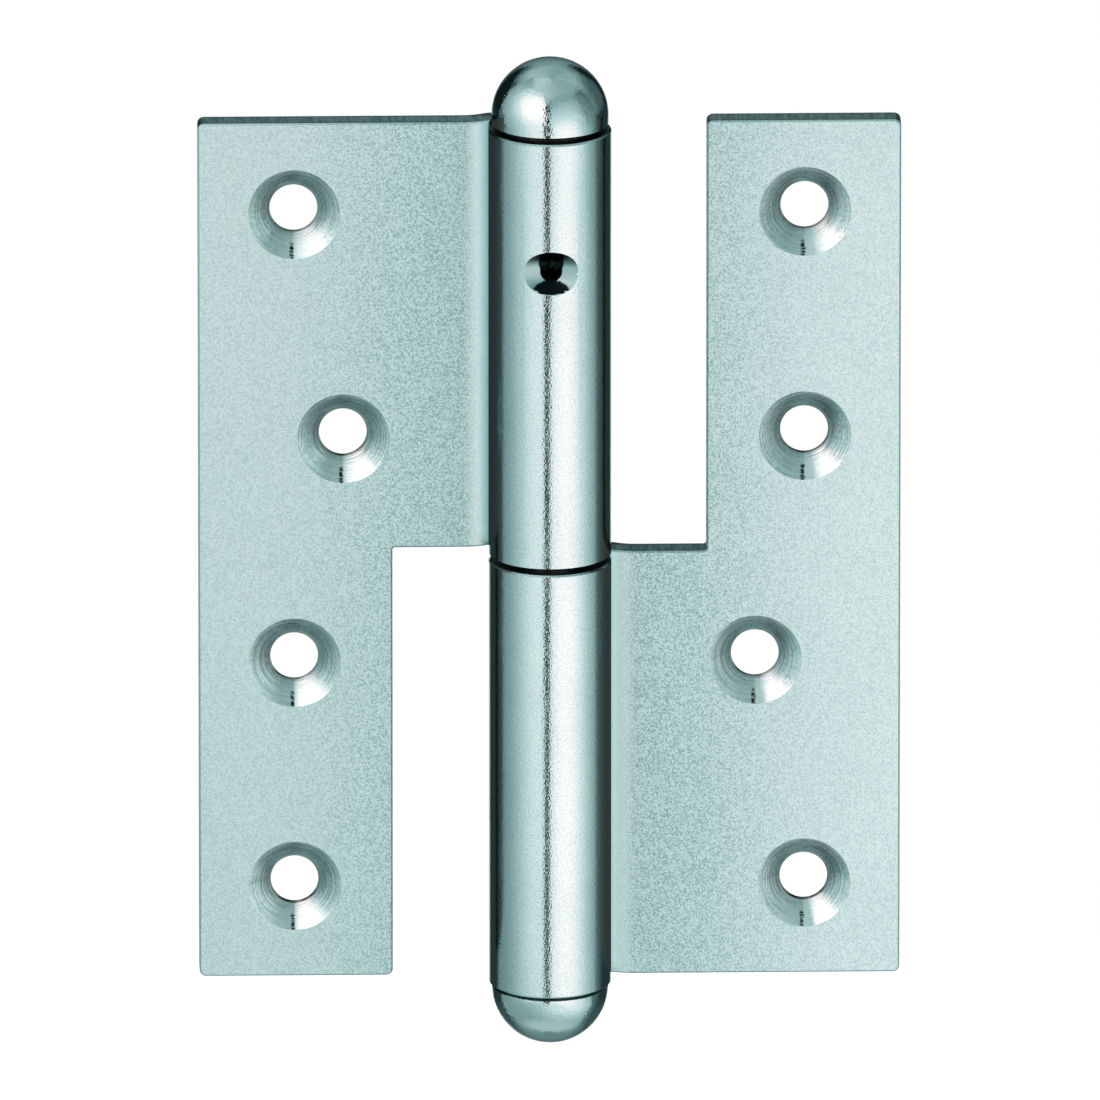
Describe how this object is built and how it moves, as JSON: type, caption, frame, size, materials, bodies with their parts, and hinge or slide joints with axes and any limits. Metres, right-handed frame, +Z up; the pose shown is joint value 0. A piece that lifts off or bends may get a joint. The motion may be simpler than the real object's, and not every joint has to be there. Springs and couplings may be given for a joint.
{
  "type": "mortise hinge",
  "caption": "Lift-off mortise hinge with notched, countersunk leaves rolled into knuckles on a fixed pin, a thrust ball, an oil hole and domed end caps.",
  "frame": {"origin": "on the pin axis, halfway up the leaves, at the middle of the bounding box", "axes": "+Z up the pin, -Y towards the side that the screws are driven from, -X towards the door leaf"},
  "size_m": [0.126, 0.022, 0.1842],
  "materials": {
    "leaf_zinc": "satin blue-white zinc plate on steel",
    "cap_zinc": "turned and zinc plated",
    "pin_steel": "ground",
    "ball_steel": "polished"
  },
  "bodies": {
    "frame_side": {"frame_leaf": "leaf_zinc", "hinge_pin": "pin_steel", "bottom_cap": "cap_zinc"},
    "thrust": {"bearing_ball": "ball_steel"},
    "door_side": {"door_leaf": "leaf_zinc", "top_cap": "cap_zinc"}
  },
  "joints": [
    {"name": "swing", "type": "hinge", "parent": "frame_side", "child": "thrust", "pos_m": [0, 0, 0], "axis": [0, 0, 1], "range_deg": [-135, 180]},
    {"name": "lift_off", "type": "slide", "parent": "thrust", "child": "door_side", "axis": [0, 0, 1], "range_m": [0, 0.065]}
  ]
}
